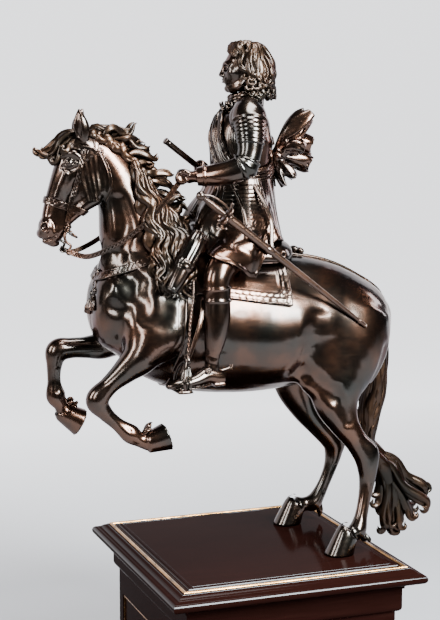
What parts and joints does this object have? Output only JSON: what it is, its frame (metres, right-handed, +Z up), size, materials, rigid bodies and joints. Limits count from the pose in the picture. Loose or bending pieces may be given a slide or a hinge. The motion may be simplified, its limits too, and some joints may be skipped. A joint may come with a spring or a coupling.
{
  "type": "equestrian statuette",
  "caption": "Dark bronze rider in armour, sash and boots on a horse in levade, with sword and baton, on a moulded ebonised wood plinth with brass trim.",
  "frame": {"origin": "centre of the plinth's underside", "axes": "+Z up; +X towards the horse's tail, so the horse faces -X; -Y is the horse's left side, where the sword hangs"},
  "size_m": [0.8413, 0.5522, 1.3227],
  "materials": {
    "figure_bronze": "cast bronze with a dark brown lacquered patina, worn to a warm polish on the raised forms",
    "scabbard_bronze": "copper-brown patinated bronze, satin",
    "ebonised_wood": "ebonised wood, French polished",
    "plinth_brass": "brass, lightly tarnished"
  },
  "bodies": {
    "root": {"horse_and_rider": "figure_bronze", "sword_and_scabbard": "scabbard_bronze", "commander_baton": "figure_bronze", "plinth_top": "ebonised_wood", "plinth_shaft": "ebonised_wood", "plinth_foot": "ebonised_wood", "brass_fillet": "plinth_brass", "panel_fillet_left": "plinth_brass", "panel_fillet_right": "plinth_brass", "panel_fillet_head_end": "plinth_brass", "panel_fillet_tail_end": "plinth_brass"}
  },
  "joints": []
}
